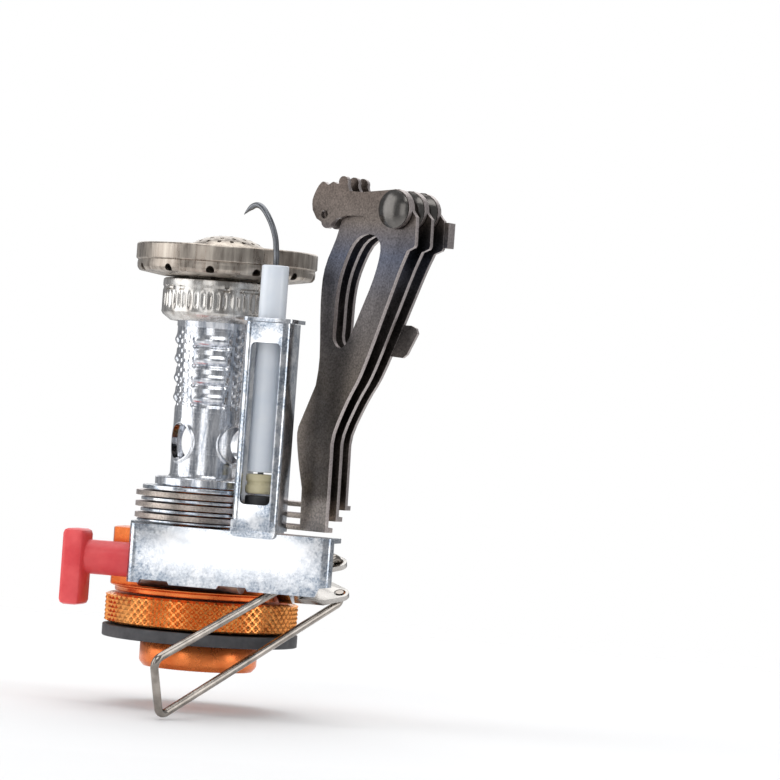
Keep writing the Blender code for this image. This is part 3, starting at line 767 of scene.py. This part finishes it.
# %% Small parts
SMALL_PARTS = (
    ("gas_jet", BRASS, "brass", "stove", 0.08),
    ("gland_nut", ALUMINIUM, "bright_aluminium", "stove", 0.2),
    ("piezo_module", MODULE_CASE, "black_plastic", "stove", 0.25),
    ("spark_lead", BLACK, "black_plastic", "stove", 0.0),
    ("lead_boot", BLACK, "black_plastic", "stove", 0.3),
    ("valve_spindle", NICKEL, "burner_steel", "valve", 0.06),
    ("spindle_o_ring", RUBBER, "black_rubber", "valve", 0.0),
    ("handle_clevis", CLEVIS_STEEL, "plated_sheet", "valve", 0.16),
    ("clevis_nut", ALUMINIUM, "bright_aluminium", "valve", 0.15),
)
for node, finish, slot, body, width in SMALL_PARTS:
    show(node + "_fine", softened(node, width), finish, body, [node])
print(len(SMALL_PARTS), "small parts softened")

# %% [markdown]
# ## Round wire
#
# A wire is a path with a round bevel, which Blender's curves give directly. Bent wire has an arc at
# each corner, so a path of straight legs gets its corners rounded. A wire bent freehand is a smooth
# curve through a few points instead.

# %% Round wire


def round_wire(name, points, radius_mm, taper=None, sides=6):
    """A round wire through points in millimetres, as a mesh. taper holds a radius factor for each point."""
    curve = bpy.data.curves.new(name, "CURVE")
    curve.dimensions = "3D"
    curve.bevel_depth, curve.bevel_resolution = radius_mm * MM, sides
    curve.use_fill_caps = True
    spline = curve.splines.new("POLY")
    spline.points.add(len(points) - 1)
    for i, point in enumerate(points):
        spline.points[i].co = (*(Vector(point) * MM), 1)
        spline.points[i].radius = taper[i] if taper else 1.0
    carrier = bpy.data.objects.new(name + "_path", curve)
    scene.collection.objects.link(carrier)
    bpy.context.view_layer.update()
    mesh = bpy.data.meshes.new_from_object(carrier.evaluated_get(bpy.context.evaluated_depsgraph_get()))
    bpy.data.objects.remove(carrier)
    work = bmesh.new()
    work.from_mesh(mesh)
    bmesh.ops.remove_doubles(work, verts=work.verts, dist=1e-6)
    bmesh.ops.recalc_face_normals(work, faces=work.faces)
    work.to_mesh(mesh)
    work.free()
    smooth(mesh, 60)
    return mesh


def rounded_path(corners, radii, count=7):
    """The path with an arc at each inner corner."""
    made = [Vector(corners[0])]
    for before, corner, after, bend in zip(corners, corners[1:], corners[2:], radii):
        before, corner, after = Vector(before), Vector(corner), Vector(after)
        one, two = (before - corner).normalized(), (after - corner).normalized()
        half = one.angle(two) / 2
        centre = corner + (one + two).normalized() * (bend / math.sin(half))
        start, end = corner + one * (bend / math.tan(half)), corner + two * (bend / math.tan(half))
        for i in range(count + 1):
            offset = start.lerp(end, i / count) - centre
            made.append(centre + offset.normalized() * bend)
    made.append(Vector(corners[-1]))
    return made


def smooth_curve(points, count=6):
    """A Catmull-Rom curve through the points."""
    made = []
    padded = [points[0]] + list(points) + [points[-1]]
    for a, b, c, d in zip(padded, padded[1:], padded[2:], padded[3:]):
        a, b, c, d = Vector(a), Vector(b), Vector(c), Vector(d)
        for i in range(count):
            t = i / count
            bend = (2 * a - 5 * b + 4 * c - d) * t * t + (3 * b - a - 3 * c + d) * t ** 3
            made.append(0.5 * (2 * b + (c - a) * t + bend))
    made.append(Vector(points[-1]))
    return made


# %% [markdown]
# ## The wire handle
#
# One piece of nickel-plated wire, bent into a tapered loop. Hand bending leaves the long sides a little
# bowed, and that is enough to tell it from a drawn line. The loop hangs on the clevis, so its place
# comes from the hinge of the frame.

# %% Wire handle
hinge = next(j for j in frame["record"]["behaviour"]["joints"] if j["name"] == "handle_swing")
hinge_axis = Vector(hinge["axis"]).normalized()
hinge_at = Vector(hinge["pos_m"]) / MM
FOLD = math.radians(118.4)
outward = Vector((1, 0, 0))
along = math.cos(FOLD) * outward + math.sin(FOLD) * outward.cross(hinge_axis)
LOOP, HALF_NEAR, HALF_FAR, PIN_END, WIRE_R = 41.0, 4.3, 5.1, 2.35, 0.65

corners = [(0, PIN_END, 0), (0, HALF_NEAR, 0), (LOOP, HALF_FAR, 0)]
corners += [(LOOP, -HALF_FAR, 0), (0, -HALF_NEAR, 0), (0, -PIN_END, 0)]
flat_path = rounded_path(corners, (0.95, 1.5, 1.5, 0.95))
side = along.cross(hinge_axis)
path = []
for point in flat_path:
    share = min(max(point.x / LOOP, 0), 1)
    bow = 0.16 * math.sin(math.pi * share) if abs(point.x - LOOP) > 2 else 0.0
    path.append(hinge_at + along * point.x + hinge_axis * point.y * (1 + 0.02 * bow) + side * bow)
handle_wire = round_wire("handle_wire", path, WIRE_R)
show("handle_wire", handle_wire, NICKEL, "handle", ["wire_handle"])
print("handle reaches down to", round(min(p.z for p in path) - WIRE_R, 2), "mm")

# %% [markdown]
# ## Igniter: box, channel and button
#
# The box and the channel are folded from plated sheet. They keep the frame's folds, and their cut edges
# are rounded by the plating. The button is one moulding of coral plastic, with generous edges because
# it is pressed by a thumb.

# %% Igniter
SHEET_EDGE = 0.14
for node, piece, finish in (
    ("igniter_bracket", "igniter_box", BOX_PLATE),
    ("igniter_holder", "igniter_channel", PLATED),
    ("holder_cap", "channel_cap", PLATED),
):
    show(piece, softened(node, SHEET_EDGE), finish, "stove", [node])
button_mesh = softened("piezo_button", 0.12, 30, 2)
show("button", button_mesh, CORAL, "button", ["piezo_button"])
print("button has", len(button_mesh.polygons), "faces")

# %% [markdown]
# ## Ceramic and sleeve
#
# The spark wire stands inside a glazed ceramic tube whose fired end is slightly rounded. A cream
# silicone sleeve with a waist grips its foot. Both are turned sections, moved to where the frame has
# them.

# %% Ceramic and sleeve
low_corner, high_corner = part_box("ceramic_insulator")
ceramic_x = (low_corner.x + high_corner.x) / 2 / MM
ceramic_y = (low_corner.y + high_corner.y) / 2 / MM
CERAMIC_R, BORE_R = 2.17, 0.8
stand = Matrix.Translation((ceramic_x * MM, ceramic_y * MM, 0))
bottom, top = low_corner.z / MM, high_corner.z / MM
ceramic_section = eased([(BORE_R, top), (CERAMIC_R, top), (CERAMIC_R, bottom), (BORE_R, bottom)], 0.3)
ceramic = lathe("ceramic", ceramic_section, 64)
show("ceramic", ceramic, GLAZE, "stove", ["ceramic_insulator"], stand)
low_corner, high_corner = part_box("insulator_collar")
bottom, top = low_corner.z / MM, high_corner.z / MM
waist = (bottom + top) / 2
sleeve = [(BORE_R, top), (2.1, top), (2.25, top - 0.3), (2.25, waist + 0.5)]
sleeve += [(2.0, waist + 0.25), (2.0, waist - 0.1), (2.25, waist - 0.35)]
sleeve += [(2.25, bottom + 0.3), (2.1, bottom), (BORE_R, bottom)]
sleeve_mesh = lathe("sleeve", eased(sleeve, 0.15), 64)
show("sleeve", sleeve_mesh, CREAM, "stove", ["insulator_collar"], stand)
print("ceramic stands at", round(ceramic_x, 2), round(ceramic_y, 2), "mm")

# %% [markdown]
# ## Electrode
#
# The spark wire leaves the tube straight up, bends over towards the burner and ends in a ground point,
# a few millimetres above the rim, where the gas meets the air. It is a smooth curve through its
# measured bends, and the radius falls away over the last steps.

# %% Electrode
rise = [(0, 0, 30), (0, 0, 50), (0, 0, 65.4), (-0.1, 0, 67.5), (-0.4, 0.05, 69.6), (-1.1, 0.2, 71.5)]
rise += [(-2.1, 0.5, 73.2), (-3.2, 0.9, 74.4), (-4.3, 1.3, 74.7), (-5.4, 1.7, 74.1), (-6.4, 2.1, 73.15)]
wire = [p + Vector((ceramic_x, ceramic_y, 0)) for p in smooth_curve(rise)]
SPARK_R = 0.47
POINT_STEPS = 8
to_end = [len(wire) - i for i in range(len(wire))]
taper = [min(1.0, max(0.12, (left - 0.5) / POINT_STEPS)) for left in to_end]
spark_wire = round_wire("spark_wire", wire, SPARK_R, taper)
show("spark_wire", spark_wire, SPARK_STEEL, "stove", ["electrode"])
print("spark point at", [round(v, 2) for v in wire[-1]], "mm")

# %% [markdown]
# ## Mixer tube
#
# Gas from the jet drags air in through four round holes at the foot of this tube. Higher up it has four
# rolled rings, and staggered notches between them on the sides that have the holes. Both are a relief
# on fine rows of the lathe: the angle from the nearest hole decides which of the two a point gets. The
# holes are cut right through, with a small raised burr round each.

# %% Mixer tube
flange_r, tube_low, tube_high = size_of("mixer_tube")
BORE, AIR_HOLE_R, AIR_HOLE_Z, FIRST_HOLE = 5.9, 2.9, 36.4, -131.0
RING_LEVELS = (43.5, 46.6, 49.7, 52.8)
ROW, NOTCH_PITCH = 0.22, 0.775


def tube_radius(z):
    if z >= 53.5:
        return 7.15
    return 6.72 + 0.43 * max(0.0, z - 42.0) / 11.5


def tube_relief(turn, index):
    z = tube_rows[index]
    if z is None or not 31.6 < z < 55.0:
        return 0.0
    from_hole = (360 * turn - FIRST_HOLE + 45) % 90 - 45
    out = 0.0
    if z > 41.5:
        blend = min(1.0, max(0.0, (abs(from_hole) - 18) / 5))
        for level in RING_LEVELS:
            bulge = 0.32 * math.exp(-(((z - level) / 0.62) ** 2))
            groove = 0.34 * math.exp(-(((z - level + 1.0) / 0.3) ** 2))
            out += blend * (bulge - groove)
        row = int((z - 42.0) // NOTCH_PITCH)
        across = (from_hole + (8 if row % 2 else 0)) % 16 - 8
        if 42.0 < z < 54.2 and abs(across) < 4.4 and abs(from_hole) < 19:
            out -= 0.12
    reach = math.hypot(math.radians(from_hole) * 6.8, z - AIR_HOLE_Z)
    return out + 0.16 * math.exp(-(((reach - AIR_HOLE_R - 0.22) / 0.26) ** 2))


count = int((54.9 - 31.4) / ROW)
levels = [54.9 - i * ROW for i in range(count + 1)]
tube_section = [(BORE, tube_high), (7.1, tube_high), (7.25, tube_high - 0.15), (7.25, 55.1)]
tube_rows = [None] * len(tube_section) + levels
tube_section += [(tube_radius(z), z) for z in levels]
tube_foot = [(6.75, 31.1), (7.0, 30.7), (flange_r - 0.15, 30.6), (flange_r, 30.45), (flange_r, tube_low)]
tube_foot += [(flange_r - 0.15, tube_low - 0.15), (BORE, tube_low - 0.15)]
tube_rows += [None] * len(tube_foot)
tube = lathe("tube", tube_section + tube_foot, 288, tube_relief)
bars = []
for azimuth in (FIRST_HOLE, FIRST_HOLE + 90):
    across = Vector((math.cos(math.radians(azimuth)), math.sin(math.radians(azimuth)), 0)) * 12
    height = Vector((0, 0, AIR_HOLE_Z))
    bars.append((height + across, height - across))
drills = [pegs(f"air_hole_{i}", [bar], AIR_HOLE_R, 64) for i, bar in enumerate(bars)]
tube = cut(tube, drills, "tube")
show("tube", tube, ALUMINIUM, "stove", ["mixer_tube"])
print("tube has", len(levels), "rows and", len(tube.polygons), "faces")

# %% [markdown]
# ## Washers on the stem
#
# Thin stamped rings space the three supports. Each is its own small section, so that light falls
# between them.

# %% Washers
WASHERS = ("base_washer", "lower_spacer", "upper_spacer", "top_washer")
for node in WASHERS:
    radius, low, high = size_of(node)
    section = eased([(BOSS_R + 0.3, high), (radius, high), (radius, low), (BOSS_R + 0.3, low)], 0.08, 2)
    show(node + "_fine", lathe(node + "_fine", section, 128), PLATED, "stove", [node])
print(len(WASHERS), "washers on the stem")

# %% [markdown]
# ## Burner neck
#
# The neck is pressed steel with fine upright flutes between two plain bands. The flutes are a cosine
# relief on the rows between the bands, which fades at both ends as a rolling tool would leave it. A few
# dents under the rim show where the head was crimped on.

# %% Neck
FLUTES, FLUTE_DEPTH, FLUTE_ROWS = 54, 0.2, 10
neck_r, neck_low, neck_high = size_of("burner_neck")
flute_low, flute_high = 57.6, neck_high - 2.0
neck_section = [(8.9, neck_high), (neck_r - 0.3, neck_high)]
neck_section += [(neck_r - 0.05, neck_high - 0.2), (neck_r, neck_high - 0.5)]
neck_section += [(neck_r, neck_high - 1.2), (neck_r - 0.12, neck_high - 1.45)]
first_dent = len(neck_section) - 1
neck_section += [(neck_r - 0.12, neck_high - 1.7)]
first_flute = len(neck_section)
for i in range(FLUTE_ROWS + 1):
    neck_section.append((neck_r - 0.02, flute_high - (flute_high - flute_low) * i / FLUTE_ROWS))
last_flute = len(neck_section) - 1
neck_section += [(neck_r, 57.35), (neck_r, 57.15), (9.75, 56.75)]
neck_section += [(8.5, neck_low + 0.05), (8.3, neck_low), (7.75, neck_low)]
neck_section += [(7.75, 58.2), (8.9, 59.4)]
dice = random.Random(4)
dents = [(dice.random(), dice.uniform(0.006, 0.016), dice.uniform(0.15, 0.5)) for _ in range(16)]


def neck_relief(turn, index):
    if index in (first_dent, first_dent + 1):
        return -sum(d * math.exp(-(((turn - at + 0.5) % 1 - 0.5) / width) ** 2) for at, width, d in dents)
    if not first_flute <= index <= last_flute:
        return 0.0
    fade = min(1.0, (index - first_flute) / 2, (last_flute - index) / 2)
    return -FLUTE_DEPTH * fade * (0.5 + 0.5 * math.cos(2 * math.pi * FLUTES * turn)) ** 2


neck = lathe("neck", neck_section, FLUTES * 6, neck_relief)
show("neck", neck, NECK, "stove", ["burner_neck"])
print("neck has", FLUTES, "flutes and", len(dents), "dents")

# %% [markdown]
# ## Burner head
#
# The head is a shallow closed pan. Flame ports pierce its slanted underside. Real holes are cut here,
# since they stay dark whatever the light does.

# %% Burner head
PORTS, FIRST_PORT = 12, -84.0
head_r, head_low, head_top = size_of("burner_head")
top_face = [(6.7, head_top - 0.25), (7.2, head_top), (head_r - 0.25, head_top), (head_r, head_top - 0.25)]
under = [(head_r, 65.5), (head_r - 0.08, 65.38), (14.3, 65.25), (14.42, 64.7)]
under += [(14.36, 64.0), (14.0, 63.5), (10.3, head_low), (9.0, head_low)]
inside = [(9.0, 63.7), (13.55, 64.3), (13.55, 67.2), (6.7, 67.2)]
head = lathe("head", eased(top_face + under + inside, 0.12, 2), 180)
ports = []
for i in range(PORTS):
    a = math.radians(FIRST_PORT + 360 * i / PORTS)
    direction = Vector((math.cos(a), math.sin(a), 0))
    ports.append((direction * 15.4 + Vector((0, 0, 62.9)), direction * 12.6 + Vector((0, 0, 65.1))))
head = cut(head, [pegs("ports", ports, 0.68, 24)], "head")
show("head", head, HOT_STEEL, "stove", ["burner_head"])
print("head has", PORTS, "ports and", len(head.polygons), "faces")

# %% [markdown]
# ## Burner dome
#
# A small perforated dome sits in the middle of the head and spreads the inner flame. Its holes lie on
# three circles round one in the centre, and each leans outward a little, square to the sheet.

# %% Burner dome
outside = [(0, 70.0), (1.3, 69.95), (2.6, 69.78), (3.8, 69.45), (4.9, 69.0), (5.8, 68.5), (6.3, 68.0)]
outside += [(6.4, 67.4), (6.4, 66.8)]
underneath = [(5.8, 66.8), (5.8, 67.5), (5.3, 68.1), (4.3, 68.7), (2.5, 69.2), (1.2, 69.37), (0, 69.4)]
dome = lathe("dome", outside + underneath, 96)
holes = [((0, 0, 71), (0, 0, 68))]
for count, distance in ((6, 1.9), (12, 3.7), (16, 5.2)):
    for i in range(count):
        a = 2 * math.pi * i / count
        x, y = distance * math.cos(a), distance * math.sin(a)
        holes.append(((x * 1.05, y * 1.05, 71), (x * 0.93, y * 0.93, 67.6)))
dome = cut(dome, [pegs("dome_holes", holes, 0.36, 10)], "dome")
show("dome", dome, HOT_STEEL, "stove", ["burner_dome"])
print("dome has", len(holes), "holes")

# %% [markdown]
# ## Pot supports, arms and rivets
#
# Three supports of dark steel sheet stand folded side by side, each with a serrated arm folded in.
# Stamping rounds one edge of a sheet and leaves a burr on the other, so a rounding of an eighth of a
# millimetre suits both. The rivets have big domed heads, and each stands on the hinge of its arm.

# %% Supports
RIVET_HEAD = [(0, 2.35), (0.8, 2.31), (1.6, 2.16), (2.3, 1.9), (2.8, 1.64), (3.0, 1.5)]
RIVET_HEAD += [(1.0, 1.5), (1.0, -0.6), (2.15, -0.6), (2.2, -0.7), (1.9, -0.95), (0, -0.95)]
for number, body in ((1, "stove"), (2, "support_2"), (3, "support_3")):
    support, arm, rivet = f"pot_support_{number}", f"pot_arm_{number}", f"arm_rivet_{number}"
    show(f"support_{number}_sheet", softened(support, 0.12), DARK_STEEL, body, [support])
    show(f"arm_{number}_sheet", softened(arm, 0.14), DARK_STEEL, f"arm_{number}", [arm])
    joint = next(j for j in frame["record"]["behaviour"]["joints"] if j["name"] == f"arm_{number}_flip")
    pin = -Vector(joint["axis"]).normalized()
    turn = pin.to_track_quat("Z", "Y").to_matrix().to_4x4()
    place = Matrix.Translation(Vector(joint["pos_m"])) @ turn
    head_mesh = lathe(f"rivet_{number}", RIVET_HEAD, 48)
    show(f"rivet_{number}", head_mesh, RIVET_STEEL, body, [rivet], place)
    print(support, "rivet at", [round(v / MM, 1) for v in joint["pos_m"]], "mm")

# %% [markdown]
# ## Floor
#
# A pale paper floor takes the stove's shadow. It fades away with distance, so that there is no horizon
# against the white surround.

# %% Floor
FLOOR_NEAR, FLOOR_FAR = 0.09, 0.30


def floor():
    """White paper that fades into the white surround, so there is no horizon."""
    work = bmesh.new()
    bmesh.ops.create_circle(work, cap_ends=True, segments=96, radius=0.4)
    mesh = bpy.data.meshes.new("floor")
    work.to_mesh(mesh)
    work.free()
    made, tree, shader, where = new_finish("floor_paper", (0.93, 0.93, 0.93), 0.0, 0.9)
    add_bump(tree, shader, noise(tree, where, 900), 0.05, 0.02)
    length = tree.nodes.new("ShaderNodeVectorMath")
    length.operation = "LENGTH"
    tree.links.new(where, length.inputs[0])
    tree.links.new(rescale(tree, length.outputs["Value"], FLOOR_FAR, FLOOR_NEAR), shader.inputs["Alpha"])
    mesh.materials.append(made)
    ground = bpy.data.objects.new("floor", mesh)
    ground.location.z = cad_box[0][2] - 0.0004
    scene.collection.objects.link(ground)


floor()
print("floor at", round(cad_box[0][2] / MM - 0.4, 2), "mm")

# %% [markdown]
# ## Light
#
# Bright metal shows what surrounds it. The camera sees a white surround, but the metal reflects a soft
# grey one, with big white panels at the left, the right and above. The dark gaps between the panels
# draw the shapes.

# %% Light


def surround():
    world = bpy.data.worlds.new("studio")
    scene.world = world
    world.use_nodes = True
    tree = world.node_tree
    base = tree.nodes["Background"]
    base.inputs["Color"].default_value = (0.62, 0.63, 0.65, 1)
    base.inputs["Strength"].default_value = 0.5
    white = tree.nodes.new("ShaderNodeBackground")
    white.inputs["Color"].default_value = (1, 1, 1, 1)
    seen = tree.nodes.new("ShaderNodeLightPath")
    mix = tree.nodes.new("ShaderNodeMixShader")
    tree.links.new(seen.outputs["Is Camera Ray"], mix.inputs["Fac"])
    tree.links.new(base.outputs["Background"], mix.inputs[1])
    tree.links.new(white.outputs["Background"], mix.inputs[2])
    tree.links.new(mix.outputs["Shader"], tree.nodes["World Output"].inputs["Surface"])


def panel(name, place, size, radiance):
    """A soft rectangular light that faces the stove. radiance is how bright it looks in a mirror."""
    light = bpy.data.lights.new(name, "AREA")
    light.shape = "RECTANGLE"
    light.size, light.size_y = size
    light.energy = radiance * math.pi * size[0] * size[1]
    carrier = bpy.data.objects.new(name, light)
    carrier.visible_camera = False
    place = Vector(place)
    facing = (place - Vector((0.01, 0, 0.04))).to_track_quat("Z", "Y").to_matrix().to_4x4()
    carrier.matrix_world = Matrix.Translation(place) @ facing
    scene.collection.objects.link(carrier)


surround()
panel("panel_left", (-0.62, -0.22, 0.12), (0.5, 0.8), 1.7)
panel("panel_box", (-0.19, -0.74, 0.10), (0.26, 0.5), 1.3)
panel("panel_right", (0.65, -0.08, 0.2), (0.25, 0.8), 2.0)
panel("panel_front", (0.10, -0.8, 0.75), (0.6, 0.35), 2.4)
panel("panel_above", (0.0, 0.1, 0.8), (0.8, 0.8), 2.0)
panel("panel_back", (-0.1, 0.8, 0.4), (0.9, 0.5), 1.4)
scene.view_settings.view_transform = "Standard"
print("lights:", len(bpy.data.lights))
